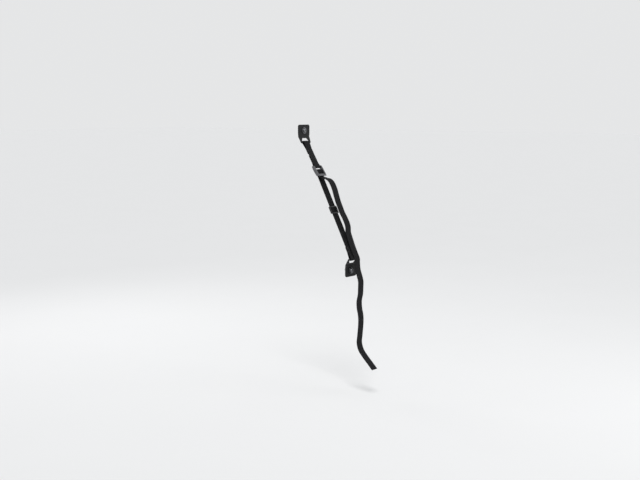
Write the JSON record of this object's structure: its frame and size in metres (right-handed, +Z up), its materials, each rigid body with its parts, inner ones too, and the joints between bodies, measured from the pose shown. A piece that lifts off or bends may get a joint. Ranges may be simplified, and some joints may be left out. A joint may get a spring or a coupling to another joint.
{
  "type": "furniture anti tip strap",
  "caption": "Adjustable webbing strap between bent steel screw-on brackets, with a metal ladder lock, a plastic slide and a hanging free tail; keeps furniture from tipping.",
  "frame": {"origin": "on the flat back of the upper bracket, on its centre line, 9 mm below its screw hole", "axes": "+X along the bars of the brackets, +Z up, -Y outwards from what the upper bracket is screwed to"},
  "size_m": [0.05, 0.2514, 0.6693],
  "materials": {
    "bracket_steel": "satin",
    "screw_steel": "satin",
    "plastic": "semi-gloss",
    "buckle_metal": "satin",
    "webbing": "matt",
    "thread": "matt"
  },
  "bodies": {
    "upper_fixing": {"upper_bracket": "bracket_steel", "upper_washer": "screw_steel", "upper_screw": "screw_steel"},
    "sewn_loop": {"top_loop": "webbing", "top_loop_stitching": "thread"},
    "strand": {"ladder_lock": "buckle_metal", "main_strap": "webbing", "strap_tail": "webbing", "lower_loop_stitching": "thread"},
    "slide": {"three_bar_slide": "plastic"},
    "lower_fixing": {"lower_bracket": "bracket_steel", "lower_washer": "screw_steel", "lower_screw": "screw_steel"}
  },
  "joints": [
    {"name": "loop_on_upper_bar", "type": "hinge", "parent": "upper_fixing", "child": "sewn_loop", "pos_m": [0, -0.00825, -0.02372], "axis": [-1, 0, 0], "range_deg": [-25, 60]},
    {"name": "strand_on_loop", "type": "hinge", "parent": "sewn_loop", "child": "strand", "pos_m": [0, -0.04774, -0.09157], "axis": [-1, 0, 0], "range_deg": [-60, 60]},
    {"name": "slide_along_strand", "type": "slide", "parent": "strand", "child": "slide", "axis": [0, -0.453, -0.8915], "range_m": [-0.07, 0.095]},
    {"name": "lower_bracket_turn", "type": "hinge", "parent": "strand", "child": "lower_fixing", "pos_m": [0, -0.17225, -0.34028], "axis": [-1, 0, 0], "range_deg": [-75, 5]}
  ]
}
